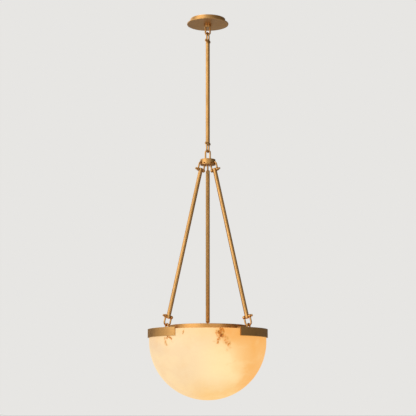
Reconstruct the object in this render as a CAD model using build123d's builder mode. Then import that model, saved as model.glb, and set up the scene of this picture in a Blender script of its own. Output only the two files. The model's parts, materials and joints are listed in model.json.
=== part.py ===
# Alabaster bowl pendant: a stone bowl hung from the ceiling by a jointed stem and three rods.
# Sizes are in millimetres. The origin is the middle of the ceiling plane, +Z is up, the front is -Y.
from build123d import *
from math import cos, radians, sin, sqrt
import os

os.makedirs("parts", exist_ok=True)

# ---- Driving dimensions ---------------------------------------------------------------------------

# Canopy and what holds it to the ceiling box
canopy_diameter = 164
canopy_drum_diameter = 139
canopy_height = 20.5
canopy_lip = 4
canopy_wall = 1.5
canopy_floor = 2
canopy_rounding = 1
bar_length = 110
bar_width = 20
bar_thickness = 2.5
bar_corner = 3
box_screw_spacing = 88.9
box_slot_length = 14
box_slot_width = 5.2
nipple_diameter = 13
nipple_bore = 9
nipple_recess = 0.5
nipple_grip = 5.5
locknut_width = 19
locknut_thickness = 4
ground_screw_offset = 22
ground_screw_diameter = 4
ground_head_diameter = 8
ground_head_height = 3

# Cast loop under the canopy
boss_diameter = 28
boss_height = 13
boss_rounding = 4.5
boss_cavity_depth = 10.5
boss_cavity_diameter = 10
outlet_diameter = 4.4
canopy_loop_drop = 28
loop_wire = 6.8
loop_width = 18
loop_root = 2

# Shackles and their ball-headed pins
shackle_wire = 6.5
shackle_width = 24.4
shackle_crown = 33.75
eye_diameter = 13
eye_thickness = 7.5
eye_rounding = 1
pin_diameter = 6
pin_tail = 2.5
pin_collar_diameter = 9
pin_collar_thickness = 1.2
pin_ball_diameter = 9
stem_pin_angle = 250

# Stem and rods, measured from eye to eye
stem_length = 414
rod_length = 589.5
rod_tilt = 13.6
rod_angles = (210, 330, 90)
tube_diameter = 15.875
tube_wall = 1.25
eye_margin = 7
plug_shoulder = 8
plug_nose = 3
spigot_length = 14

# Hub
hub_diameter = 60
hub_thickness = 22.3
hub_rounding = 1.5
hub_loop_rise = 36.5
hub_loop_thread = 11
hub_bar_diameter = 5
hub_bar_radius = 24.8
hub_bar_inset = 5.2
hub_slot_gap = 1.5

# Claws over the bowl's rim
claw_diameter = 457.2
claw_thickness = 4
claw_drop = 32.4
claw_span = 56
claw_band = 24
claw_rounding = 0.8
tongue_width = 70
tongue_inner_radius = 114
tongue_corner = 10
staple_wire = 6
staple_width = 20
staple_rise = 16.9
staple_tail = 1
nut_width = 10
nut_thickness = 5
liner_thickness = 1.2

# Pan, socket plate and their fixings
pan_diameter = 296
pan_height = 14.9
pan_sheet = 1.5
pan_rounding = 1.2
pan_flange = 28
socket_plate_diameter = 280
pan_screw_radius = 133
pan_screw_spacing = 44
pan_screw_diameter = 5
pan_screw_head_diameter = 9
pan_screw_head_height = 3
pan_nut_width = 8
pan_nut_thickness = 4
bushing_hole_diameter = 12
bushing_flange_diameter = 18
bushing_flange = 1.5
bushing_bore = 8

# Bowl and the bolts through its wall
bowl_wall = 12
bowl_collar = 38
bowl_rim_rounding = 2
bolt_diameter = 6
bolt_drop = 15
bolt_spread = 14
bolt_head_diameter = 11
bolt_head_height = 3.5
bolt_grip = 3
washer_diameter = 18
washer_thickness = 1.5

# Lamp sockets and bulbs
socket_angles = (285, 45, 165)
socket_circle_radius = 88
socket_diameter = 38
socket_height = 40
socket_bore = 26.5
socket_bore_depth = 30
socket_rounding = 2
socket_stub_diameter = 10
socket_stub_length = 4
bulb_base_diameter = 26
bulb_base_length = 31
bulb_contact_diameter = 10
bulb_contact_length = 6
bulb_neck_diameter = 29
bulb_diameter = 60
bulb_centre_drop = 50
bulb_wall = 1

# Clearances
thread_gap = 0.05
pin_fit = 0.05
link_gap = 0.3
twist_gap = 0.5
seat_gap = 0.2
hole_gap = 0.25

# ---- Heights, worked down from the ceiling -----------------------------------------------------------

tube_radius = tube_diameter / 2
hub_radius = hub_diameter / 2
shackle_half = shackle_width / 2
loop_half = loop_width / 2
canopy_bottom = -canopy_height
boss_bottom = canopy_bottom - boss_height
canopy_bow_height = boss_bottom - canopy_loop_drop
link_pitch = (loop_wire + shackle_wire) / 2 + link_gap
top_pin_height = canopy_bow_height + link_pitch - shackle_crown
bottom_pin_height = top_pin_height - stem_length
hub_top = bottom_pin_height - shackle_crown + link_pitch - hub_loop_rise
hub_bottom = hub_top - hub_thickness
hub_bar_height = hub_bottom + hub_bar_inset

# Distances down the line of a rod, from the hub bar's middle to the staple's
rod_top_eye = shackle_crown - (hub_bar_diameter + shackle_wire) / 2 - link_gap
rod_bottom_eye = rod_top_eye + rod_length
rod_line_length = rod_bottom_eye + shackle_crown - (staple_wire + shackle_wire) / 2 - twist_gap
staple_radius = hub_bar_radius + rod_line_length * sin(radians(rod_tilt))
staple_bar_height = hub_bar_height - rod_line_length * cos(radians(rod_tilt))

claw_top = staple_bar_height - staple_rise
claw_underside = claw_top - claw_thickness
claw_radius = claw_diameter / 2
claw_inner_radius = claw_radius - claw_thickness
bowl_radius = claw_inner_radius - liner_thickness - 2 * seat_gap
bowl_inner_radius = bowl_radius - bowl_wall
bowl_rim = claw_underside - liner_thickness - 2 * seat_gap
bowl_centre = bowl_rim - bowl_collar
bolt_height = bowl_rim - bolt_drop
washer_seat = sqrt(bowl_inner_radius**2 - (washer_diameter / 2) ** 2) - seat_gap
pan_radius = pan_diameter / 2
pan_top = claw_top + pan_height
plate_underside = claw_top + pan_sheet
plate_top = plate_underside + pan_sheet
socket_mouth = plate_underside - socket_height
socket_bore_end = socket_mouth + socket_bore_depth
bulb_base_bottom = socket_bore_end - bulb_base_length
bulb_centre = bulb_base_bottom - bulb_centre_drop


# ---- Planes ---------------------------------------------------------------------------------------


def radial_plane(angle):
    """The upright plane through the lamp's axis at this angle: X is the radius, Y the height."""
    turn = radians(angle)
    return Plane(origin=(0, 0, 0), x_dir=(cos(turn), sin(turn), 0), z_dir=(sin(turn), -cos(turn), 0))


def stem_plane(height):
    """The plane of a stem shackle: X runs along its pin to the ball, Y is up."""
    section = radial_plane(stem_pin_angle)
    return Plane(origin=(0, 0, height), x_dir=section.x_dir, z_dir=section.z_dir)


def rod_plane(angle, distance):
    """The plane of one rod, so far down its line from the hub bar: X is along its pins, Y is up the rod."""
    section = radial_plane(angle)
    tilt = radians(rod_tilt)
    radius = hub_bar_radius + distance * sin(tilt)
    height = hub_bar_height - distance * cos(tilt)
    along_pin = section.x_dir * cos(tilt) + Vector(0, 0, sin(tilt))
    return Plane(origin=section.from_local_coords((radius, height)), x_dir=along_pin, z_dir=section.z_dir)


def upside_down(plane):
    """The same plane with its Y pointing the other way."""
    return Plane(origin=plane.origin, x_dir=plane.x_dir, z_dir=-plane.z_dir)


def outward_plane(angle, radius, height):
    """A plane that faces outward from the lamp's axis, at this radius and height."""
    turn = radians(angle)
    return Plane(origin=(radius * cos(turn), radius * sin(turn), height), z_dir=(cos(turn), sin(turn), 0))


def flat_plane(angle, height):
    """A level plane whose X points out along this angle."""
    turn = radians(angle)
    return Plane(origin=(0, 0, height), x_dir=(cos(turn), sin(turn), 0), z_dir=(0, 0, 1))


def axis_distance(edge):
    """How far an edge's middle is from the lamp's axis."""
    return sqrt(edge.center().X ** 2 + edge.center().Y ** 2)


# ---- Shapes that repeat ---------------------------------------------------------------------------


def make_bow(plane, width, foot, crown, wire):
    """A round wire bent to a U: two legs from the foot, and a half-round crown towards the plane's Y."""
    half = width / 2
    with BuildPart() as bow:
        with BuildLine(plane) as path:
            Line((-half, foot), (-half, crown - half))
            ThreePointArc((-half, crown - half), (0, crown), (half, crown - half))
            Line((half, crown - half), (half, foot))
        with BuildSketch(Plane(origin=path.line @ 0, z_dir=path.line % 0)):
            Circle(wire / 2)
        sweep(path=path.line)
    return bow


def make_shackle(plane):
    """A shackle whose pin lies along the plane's X, its bow towards the plane's Y."""
    bow = make_bow(plane, shackle_width, 0, shackle_crown, shackle_wire)
    pin_axis = Axis(plane.origin, plane.x_dir)
    with BuildPart() as shackle:
        add(bow.part)
        with BuildSketch(plane) as eyes:
            with Locations((-shackle_half, eye_diameter / 4), (shackle_half, eye_diameter / 4)):
                Rectangle(eye_thickness, eye_diameter / 2)
            fillet(eyes.vertices().group_by(Axis.Y)[-1], radius=eye_rounding)
        revolve(axis=pin_axis)
        with BuildSketch(Plane(origin=plane.origin, z_dir=plane.x_dir)):
            Circle(pin_diameter / 2 + pin_fit)
        extrude(amount=shackle_width, both=True, mode=Mode.SUBTRACT)
    return shackle


def make_pin(plane):
    """A shackle's pin along the plane's X, with a collar and a ball at its positive end."""
    shank = pin_diameter / 2
    face = (shackle_width + eye_thickness) / 2
    ball_root = face + pin_collar_thickness
    ball = pin_ball_diameter / 2
    ball_centre = ball_root + sqrt(ball**2 - shank**2)
    with BuildPart() as pin:
        with BuildSketch(plane):
            with BuildLine():
                Polyline(
                    (ball_centre + ball, 0),
                    (-face - pin_tail, 0),
                    (-face - pin_tail, shank),
                    (face, shank),
                    (face, pin_collar_diameter / 2),
                    (ball_root, pin_collar_diameter / 2),
                    (ball_root, shank),
                )
                ThreePointArc((ball_root, shank), (ball_centre, ball), (ball_centre + ball, 0))
            make_face()
        revolve(axis=Axis(plane.origin, plane.x_dir))
    return pin


def make_tube(plane, length):
    """A tube between two eyes this length apart. The plane's origin is the upper eye, its Y is up."""
    start = plane.from_local_coords((0, -plug_shoulder))
    with BuildPart() as tube:
        with BuildSketch(Plane(origin=start, z_dir=-plane.y_dir)):
            Circle(tube_radius)
            Circle(tube_radius - tube_wall, mode=Mode.SUBTRACT)
        extrude(amount=length - 2 * plug_shoulder)
    return tube


def make_plug(plane):
    """A tube's end plug: round-nosed head with an eye along the plane's X, nose towards its Y."""
    spigot = tube_radius - tube_wall - thread_gap
    tail = -plug_shoulder - spigot_length
    with BuildPart() as plug:
        with BuildSketch(plane) as half_section:
            with BuildLine():
                Polyline(
                    (0, eye_margin),
                    (tube_radius, eye_margin),
                    (tube_radius, -plug_shoulder),
                    (spigot, -plug_shoulder),
                    (spigot, tail),
                    (0, tail),
                    close=True,
                )
            make_face()
            nose = half_section.vertices().sort_by_distance((tube_radius, eye_margin))[0]
            fillet(nose, radius=plug_nose)
        revolve(axis=Axis(plane.origin, plane.y_dir))
        with BuildSketch(Plane(origin=plane.origin, z_dir=plane.x_dir)):
            Circle(pin_diameter / 2 + pin_fit)
        extrude(amount=tube_diameter, both=True, mode=Mode.SUBTRACT)
    return plug


# ---- Ceiling fixing -------------------------------------------------------------------------------

with BuildPart() as canopy_cover:
    with BuildSketch(Plane.XY.offset(canopy_bottom)):
        Circle(canopy_diameter / 2)
    extrude(amount=canopy_lip)
    fillet(canopy_cover.edges(), radius=canopy_rounding)
    with BuildSketch(Plane.XY.offset(canopy_bottom)):
        Circle(canopy_drum_diameter / 2)
    extrude(amount=canopy_height)
    with BuildSketch(Plane.XY.offset(canopy_bottom + canopy_floor)):
        Circle(canopy_drum_diameter / 2 - canopy_wall)
    extrude(amount=canopy_height, mode=Mode.SUBTRACT)
    with BuildSketch(Plane.XY.offset(canopy_bottom)):
        Circle(nipple_diameter / 2 + hole_gap)
    extrude(amount=canopy_floor, mode=Mode.SUBTRACT)
canopy_cover.part.label = "canopy_cover"
export_step(canopy_cover.part, "parts/canopy_cover.step")

with BuildPart() as mounting_bar:
    with BuildSketch(Plane.XY):
        RectangleRounded(bar_length, bar_width, bar_corner)
        Circle(nipple_diameter / 2 + thread_gap, mode=Mode.SUBTRACT)
        with Locations((-box_screw_spacing / 2, 0), (box_screw_spacing / 2, 0)):
            SlotOverall(box_slot_length, box_slot_width, mode=Mode.SUBTRACT)
        with Locations((ground_screw_offset, 0)):
            Circle(ground_screw_diameter / 2 + thread_gap, mode=Mode.SUBTRACT)
    extrude(amount=-bar_thickness)
mounting_bar.part.label = "mounting_bar"
export_step(mounting_bar.part, "parts/mounting_bar.step")

with BuildPart() as ground_screw:
    with BuildSketch(Plane.XY.offset(-bar_thickness)):
        with Locations((ground_screw_offset, 0)):
            Circle(ground_screw_diameter / 2)
    extrude(amount=bar_thickness)
    with BuildSketch(Plane.XY.offset(-bar_thickness)):
        with Locations((ground_screw_offset, 0)):
            Circle(ground_head_diameter / 2)
    extrude(amount=-ground_head_height)
ground_screw.part.label = "ground_screw"
export_step(ground_screw.part, "parts/ground_screw.step")

with BuildPart() as hanger_nipple:
    with BuildSketch(Plane.XY.offset(-nipple_recess)):
        Circle(nipple_diameter / 2)
        Circle(nipple_bore / 2, mode=Mode.SUBTRACT)
    extrude(amount=canopy_bottom - nipple_grip + nipple_recess)
hanger_nipple.part.label = "hanger_nipple"
export_step(hanger_nipple.part, "parts/hanger_nipple.step")

with BuildPart() as bar_locknut:
    with BuildSketch(Plane.XY.offset(-bar_thickness)):
        RegularPolygon(locknut_width / 2, 6, major_radius=False)
        Circle(nipple_diameter / 2 + thread_gap, mode=Mode.SUBTRACT)
    extrude(amount=-locknut_thickness)
bar_locknut.part.label = "bar_locknut"
export_step(bar_locknut.part, "parts/bar_locknut.step")

with BuildPart() as canopy_locknut:
    with BuildSketch(Plane.XY.offset(canopy_bottom + canopy_floor)):
        RegularPolygon(locknut_width / 2, 6, major_radius=False)
        Circle(nipple_diameter / 2 + thread_gap, mode=Mode.SUBTRACT)
    extrude(amount=locknut_thickness)
canopy_locknut.part.label = "canopy_locknut"
export_step(canopy_locknut.part, "parts/canopy_locknut.step")

canopy_bow = make_bow(
    Plane(origin=(0, 0, boss_bottom), x_dir=(1, 0, 0), z_dir=(0, 1, 0)),
    loop_width,
    -loop_root,
    canopy_loop_drop,
    loop_wire,
)
with BuildPart() as canopy_loop:
    with BuildSketch(Plane.XY.offset(boss_bottom)):
        Circle(boss_diameter / 2)
    extrude(amount=boss_height)
    fillet(canopy_loop.edges().group_by(Axis.Z)[0], radius=boss_rounding)
    add(canopy_bow.part)
    with BuildSketch(Plane.XY.offset(canopy_bottom)):
        Circle(nipple_diameter / 2 + thread_gap)
    extrude(amount=-nipple_grip, mode=Mode.SUBTRACT)
    with BuildSketch(Plane.XY.offset(canopy_bottom)):
        Circle(boss_cavity_diameter / 2)
    extrude(amount=-boss_cavity_depth, mode=Mode.SUBTRACT)
    with BuildSketch(outward_plane(90, 0, canopy_bottom - (nipple_grip + boss_cavity_depth) / 2)):
        Circle(outlet_diameter / 2)
    extrude(amount=boss_diameter, mode=Mode.SUBTRACT)
canopy_loop.part.label = "canopy_loop"
export_step(canopy_loop.part, "parts/canopy_loop.step")

# ---- Stem and its two shackles --------------------------------------------------------------------

top_shackle = make_shackle(stem_plane(top_pin_height))
top_shackle.part.label = "top_shackle"
export_step(top_shackle.part, "parts/top_shackle.step")

top_shackle_pin = make_pin(stem_plane(top_pin_height))
top_shackle_pin.part.label = "top_shackle_pin"
export_step(top_shackle_pin.part, "parts/top_shackle_pin.step")

stem_tube = make_tube(stem_plane(top_pin_height), stem_length)
stem_tube.part.label = "stem_tube"
export_step(stem_tube.part, "parts/stem_tube.step")

stem_top_plug = make_plug(stem_plane(top_pin_height))
stem_top_plug.part.label = "stem_top_plug"
export_step(stem_top_plug.part, "parts/stem_top_plug.step")

stem_bottom_plug = make_plug(upside_down(stem_plane(bottom_pin_height)))
stem_bottom_plug.part.label = "stem_bottom_plug"
export_step(stem_bottom_plug.part, "parts/stem_bottom_plug.step")

bottom_shackle = make_shackle(upside_down(stem_plane(bottom_pin_height)))
bottom_shackle.part.label = "bottom_shackle"
export_step(bottom_shackle.part, "parts/bottom_shackle.step")

bottom_shackle_pin = make_pin(stem_plane(bottom_pin_height))
bottom_shackle_pin.part.label = "bottom_shackle_pin"
export_step(bottom_shackle_pin.part, "parts/bottom_shackle_pin.step")

# ---- Hub ------------------------------------------------------------------------------------------

# The slots are arches about the middle of the shackles' bows, so each bow has room all round.
hub_bow_centre = rod_top_eye - shackle_crown + shackle_half
hub_slot_radius = (shackle_width + shackle_wire) / 2 + hub_slot_gap
hub_slot_width = shackle_wire + 2 * hub_slot_gap
hub_bar_edge = hub_bar_radius + hub_bar_diameter / 2
hub_bar_length = 2 * sqrt(hub_radius**2 - hub_bar_edge**2) - 2 * hub_rounding

with BuildPart() as hub_body:
    with BuildSketch(Plane.XY.offset(hub_bottom)):
        Circle(hub_radius)
    extrude(amount=hub_thickness)
    fillet(hub_body.edges().filter_by(GeomType.CIRCLE), radius=hub_rounding)
    for angle in rod_angles:
        with BuildSketch(rod_plane(angle, hub_bow_centre)):
            Circle(hub_slot_radius)
        extrude(amount=hub_slot_width / 2, both=True, mode=Mode.SUBTRACT)
        with BuildSketch(rod_plane(angle, 0)):
            Circle(hub_bar_diameter / 2 + thread_gap)
        extrude(amount=hub_radius, both=True, mode=Mode.SUBTRACT)
    with BuildSketch(Plane.XY.offset(hub_top)):
        with Locations((-loop_half, 0), (loop_half, 0)):
            Circle(loop_wire / 2 + thread_gap)
    extrude(amount=-hub_loop_thread, mode=Mode.SUBTRACT)
hub_body.part.label = "hub_body"
export_step(hub_body.part, "parts/hub_body.step")

hub_loop = make_bow(
    Plane(origin=(0, 0, hub_top), x_dir=(1, 0, 0), z_dir=(0, -1, 0)),
    loop_width,
    -hub_loop_thread,
    hub_loop_rise,
    loop_wire,
)
hub_loop.part.label = "hub_loop"
export_step(hub_loop.part, "parts/hub_loop.step")

with BuildPart() as hub_bars:
    for angle in rod_angles:
        with BuildSketch(rod_plane(angle, 0)):
            Circle(hub_bar_diameter / 2)
        extrude(amount=hub_bar_length / 2, both=True)
hub_bars.part.label = "hub_bars"
export_step(hub_bars.part, "parts/hub_bars.step")

# ---- Rods, each with a shackle and a pin at both ends ------------------------------------------------

for number, angle in enumerate(rod_angles, start=1):
    top_eye_plane = rod_plane(angle, rod_top_eye)
    bottom_eye_plane = rod_plane(angle, rod_bottom_eye)

    rod_tube = make_tube(top_eye_plane, rod_length)
    rod_tube.part.label = f"rod_tube_{number}"
    export_step(rod_tube.part, f"parts/rod_tube_{number}.step")

    rod_top_plug = make_plug(top_eye_plane)
    rod_top_plug.part.label = f"rod_top_plug_{number}"
    export_step(rod_top_plug.part, f"parts/rod_top_plug_{number}.step")

    rod_bottom_plug = make_plug(upside_down(bottom_eye_plane))
    rod_bottom_plug.part.label = f"rod_bottom_plug_{number}"
    export_step(rod_bottom_plug.part, f"parts/rod_bottom_plug_{number}.step")

    rod_top_shackle = make_shackle(top_eye_plane)
    rod_top_shackle.part.label = f"rod_top_shackle_{number}"
    export_step(rod_top_shackle.part, f"parts/rod_top_shackle_{number}.step")

    rod_bottom_shackle = make_shackle(upside_down(bottom_eye_plane))
    rod_bottom_shackle.part.label = f"rod_bottom_shackle_{number}"
    export_step(rod_bottom_shackle.part, f"parts/rod_bottom_shackle_{number}.step")

    rod_bottom_pin = make_pin(bottom_eye_plane)
    rod_bottom_pin.part.label = f"rod_bottom_pin_{number}"
    export_step(rod_bottom_pin.part, f"parts/rod_bottom_pin_{number}.step")

top_pins = [make_pin(rod_plane(angle, rod_top_eye)) for angle in rod_angles]
with BuildPart() as rod_top_pins:
    for top_pin in top_pins:
        add(top_pin.part)
rod_top_pins.part.label = "rod_top_pins"
export_step(rod_top_pins.part, "parts/rod_top_pins.step")

# ---- Claws and what is fastened to them --------------------------------------------------------------

band_inner_radius = claw_radius - claw_band
band_middle_radius = claw_radius - claw_band / 2
bolt_angles = [angle + side * bolt_spread for angle in rod_angles for side in (-1, 1)]
staple_legs = ((staple_radius, -staple_width / 2), (staple_radius, staple_width / 2))
pan_screw_places = ((pan_screw_radius, -pan_screw_spacing / 2), (pan_screw_radius, pan_screw_spacing / 2))

for number, angle in enumerate(rod_angles, start=1):
    with BuildPart() as claw:
        with BuildSketch(radial_plane(angle - claw_span / 2)):
            with BuildLine():
                Polyline(
                    (band_inner_radius, claw_top),
                    (claw_radius, claw_top),
                    (claw_radius, claw_top - claw_drop),
                    (claw_inner_radius, claw_top - claw_drop),
                    (claw_inner_radius, claw_underside),
                    (band_inner_radius, claw_underside),
                    close=True,
                )
            make_face()
        revolve(axis=Axis.Z, revolution_arc=claw_span)
        rims = claw.edges().filter_by(GeomType.CIRCLE)
        fillet(rims.filter_by(lambda rim: rim.radius > claw_radius - claw_rounding), radius=claw_rounding)
        with BuildSketch(flat_plane(angle, claw_underside)):
            with Locations(((tongue_inner_radius + band_middle_radius) / 2, 0)):
                Rectangle(band_middle_radius - tongue_inner_radius, tongue_width)
        extrude(amount=claw_thickness)
        uprights = claw.edges().filter_by(Axis.Z)
        corner_reach = tongue_inner_radius + tongue_width / 2
        inner_corners = uprights.filter_by(lambda edge: axis_distance(edge) < corner_reach)
        fillet(inner_corners, radius=tongue_corner)
        with BuildSketch(flat_plane(angle, claw_top)):
            with Locations(*staple_legs):
                Circle(staple_wire / 2 + hole_gap)
            with Locations(*pan_screw_places):
                Circle(pan_screw_diameter / 2 + hole_gap)
        extrude(amount=-claw_thickness, mode=Mode.SUBTRACT)
        for side in (-1, 1):
            with BuildSketch(outward_plane(angle + side * bolt_spread, bowl_radius, bolt_height)):
                Circle(bolt_diameter / 2 + thread_gap)
            extrude(amount=claw_inner_radius + bolt_grip - bowl_radius, mode=Mode.SUBTRACT)
    claw.part.label = f"claw_{number}"
    export_step(claw.part, f"parts/claw_{number}.step")

    staple_foot = Plane(
        origin=radial_plane(angle).from_local_coords((staple_radius, claw_top)),
        x_dir=flat_plane(angle, 0).y_dir,
        z_dir=flat_plane(angle, 0).x_dir,
    )
    staple_tail_length = claw_thickness + nut_thickness + staple_tail
    claw_staple = make_bow(staple_foot, staple_width, -staple_tail_length, staple_rise, staple_wire)
    claw_staple.part.label = f"claw_staple_{number}"
    export_step(claw_staple.part, f"parts/claw_staple_{number}.step")

with BuildPart() as staple_nuts:
    for angle in rod_angles:
        with BuildSketch(flat_plane(angle, claw_underside)):
            with Locations(*staple_legs):
                RegularPolygon(nut_width / 2, 6, major_radius=False)
                Circle(staple_wire / 2 + thread_gap, mode=Mode.SUBTRACT)
        extrude(amount=-nut_thickness)
staple_nuts.part.label = "staple_nuts"
export_step(staple_nuts.part, "parts/staple_nuts.step")

with BuildPart() as claw_liners:
    for angle in rod_angles:
        with BuildSketch(radial_plane(angle - claw_span / 2)):
            with BuildLine():
                Polyline(
                    (band_inner_radius, claw_underside - seat_gap),
                    (claw_inner_radius - seat_gap, claw_underside - seat_gap),
                    (claw_inner_radius - seat_gap, claw_top - claw_drop),
                    (bowl_radius + seat_gap, claw_top - claw_drop),
                    (bowl_radius + seat_gap, bowl_rim + seat_gap),
                    (band_inner_radius, bowl_rim + seat_gap),
                    close=True,
                )
            make_face()
        revolve(axis=Axis.Z, revolution_arc=claw_span)
    for angle in bolt_angles:
        with BuildSketch(outward_plane(angle, bowl_radius, bolt_height)):
            Circle(bolt_diameter / 2 + hole_gap)
        extrude(amount=2 * liner_thickness, mode=Mode.SUBTRACT)
claw_liners.part.label = "claw_liners"
export_step(claw_liners.part, "parts/claw_liners.step")

# ---- Pan and socket plate -------------------------------------------------------------------------

with BuildPart() as light_pan:
    with BuildSketch(Plane.XZ) as pan_section:
        with BuildLine():
            Polyline(
                (bushing_hole_diameter / 2, pan_top),
                (pan_radius, pan_top),
                (pan_radius, claw_top),
                (pan_radius - pan_flange, claw_top),
                (pan_radius - pan_flange, plate_underside),
                (pan_radius - pan_sheet, plate_underside),
                (pan_radius - pan_sheet, pan_top - pan_sheet),
                (bushing_hole_diameter / 2, pan_top - pan_sheet),
                close=True,
            )
        make_face()
        fillet(pan_section.vertices().sort_by_distance((pan_radius, pan_top))[0], radius=pan_rounding)
    revolve(axis=Axis.Z)
    for angle in rod_angles:
        with BuildSketch(flat_plane(angle, claw_top)):
            with Locations(*pan_screw_places):
                Circle(pan_screw_diameter / 2 + hole_gap)
        extrude(amount=pan_sheet, mode=Mode.SUBTRACT)
light_pan.part.label = "light_pan"
export_step(light_pan.part, "parts/light_pan.step")

with BuildPart() as socket_plate:
    with BuildSketch(Plane.XY.offset(plate_underside)):
        Circle(socket_plate_diameter / 2)
        with PolarLocations(socket_circle_radius, len(socket_angles), start_angle=socket_angles[0]):
            Circle(socket_stub_diameter / 2 + thread_gap, mode=Mode.SUBTRACT)
    extrude(amount=pan_sheet)
    for angle in rod_angles:
        with BuildSketch(flat_plane(angle, plate_underside)):
            with Locations(*pan_screw_places):
                Circle(pan_screw_diameter / 2 + hole_gap)
        extrude(amount=pan_sheet, mode=Mode.SUBTRACT)
socket_plate.part.label = "socket_plate"
export_step(socket_plate.part, "parts/socket_plate.step")

with BuildPart() as pan_screws:
    for angle in rod_angles:
        with BuildSketch(flat_plane(angle, claw_underside)):
            with Locations(*pan_screw_places):
                Circle(pan_screw_diameter / 2)
        extrude(amount=plate_top + pan_nut_thickness - claw_underside)
        with BuildSketch(flat_plane(angle, claw_underside)):
            with Locations(*pan_screw_places):
                Circle(pan_screw_head_diameter / 2)
        extrude(amount=-pan_screw_head_height)
pan_screws.part.label = "pan_screws"
export_step(pan_screws.part, "parts/pan_screws.step")

with BuildPart() as pan_nuts:
    for angle in rod_angles:
        with BuildSketch(flat_plane(angle, plate_top)):
            with Locations(*pan_screw_places):
                RegularPolygon(pan_nut_width / 2, 6, major_radius=False)
                Circle(pan_screw_diameter / 2 + thread_gap, mode=Mode.SUBTRACT)
        extrude(amount=pan_nut_thickness)
pan_nuts.part.label = "pan_nuts"
export_step(pan_nuts.part, "parts/pan_nuts.step")

with BuildPart() as pan_bushing:
    with BuildSketch(Plane.XZ):
        with BuildLine():
            Polyline(
                (bushing_bore / 2, pan_top + bushing_flange),
                (bushing_flange_diameter / 2, pan_top + bushing_flange),
                (bushing_flange_diameter / 2, pan_top),
                (bushing_hole_diameter / 2 - thread_gap, pan_top),
                (bushing_hole_diameter / 2 - thread_gap, pan_top - pan_sheet),
                (bushing_bore / 2, pan_top - pan_sheet - bushing_flange),
                close=True,
            )
        make_face()
    revolve(axis=Axis.Z)
pan_bushing.part.label = "pan_bushing"
export_step(pan_bushing.part, "parts/pan_bushing.step")

# ---- Bowl and its bolts ---------------------------------------------------------------------------

diagonal = sqrt(0.5)
with BuildPart() as alabaster_bowl:
    with BuildSketch(Plane.XZ) as bowl_section:
        with BuildLine():
            Polyline(
                (bowl_inner_radius, bowl_centre),
                (bowl_inner_radius, bowl_rim),
                (bowl_radius, bowl_rim),
                (bowl_radius, bowl_centre),
            )
            ThreePointArc(
                (bowl_radius, bowl_centre),
                (bowl_radius * diagonal, bowl_centre - bowl_radius * diagonal),
                (0, bowl_centre - bowl_radius),
            )
            Line((0, bowl_centre - bowl_radius), (0, bowl_centre - bowl_inner_radius))
            ThreePointArc(
                (0, bowl_centre - bowl_inner_radius),
                (bowl_inner_radius * diagonal, bowl_centre - bowl_inner_radius * diagonal),
                (bowl_inner_radius, bowl_centre),
            )
        make_face()
        fillet(bowl_section.vertices().group_by(Axis.Y)[-1], radius=bowl_rim_rounding)
    revolve(axis=Axis.Z)
    for angle in bolt_angles:
        with BuildSketch(outward_plane(angle, 0, bolt_height)):
            Circle(bolt_diameter / 2 + hole_gap)
        extrude(amount=claw_radius, mode=Mode.SUBTRACT)
alabaster_bowl.part.label = "alabaster_bowl"
export_step(alabaster_bowl.part, "parts/alabaster_bowl.step")

head_seat = washer_seat - washer_thickness
with BuildPart() as bowl_bolts:
    for angle in bolt_angles:
        with BuildSketch(outward_plane(angle, head_seat, bolt_height)):
            Circle(bolt_diameter / 2)
        extrude(amount=claw_inner_radius + bolt_grip - head_seat)
        with BuildSketch(outward_plane(angle, head_seat, bolt_height)):
            Circle(bolt_head_diameter / 2)
        extrude(amount=-bolt_head_height)
bowl_bolts.part.label = "bowl_bolts"
export_step(bowl_bolts.part, "parts/bowl_bolts.step")

with BuildPart() as bowl_washers:
    for angle in bolt_angles:
        with BuildSketch(outward_plane(angle, head_seat, bolt_height)):
            Circle(washer_diameter / 2)
            Circle(bolt_diameter / 2 + hole_gap, mode=Mode.SUBTRACT)
        extrude(amount=washer_thickness)
bowl_washers.part.label = "bowl_washers"
export_step(bowl_washers.part, "parts/bowl_washers.step")

# ---- Lamp sockets and bulbs -----------------------------------------------------------------------


def lamp_plane(angle):
    """The upright plane through one lamp's own axis, at the height of the origin."""
    turn = radians(angle)
    middle = (socket_circle_radius * cos(turn), socket_circle_radius * sin(turn), 0)
    return Plane(origin=middle, x_dir=(1, 0, 0), z_dir=(0, -1, 0))


bulb_radius = bulb_diameter / 2
bulb_neck_radius = bulb_neck_diameter / 2
inner_neck_radius = bulb_neck_radius - bulb_wall
inner_bulb_radius = bulb_radius - bulb_wall
shoulder = bulb_centre + sqrt(bulb_radius**2 - bulb_neck_radius**2)
inner_shoulder = bulb_centre + sqrt(inner_bulb_radius**2 - inner_neck_radius**2)

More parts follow.
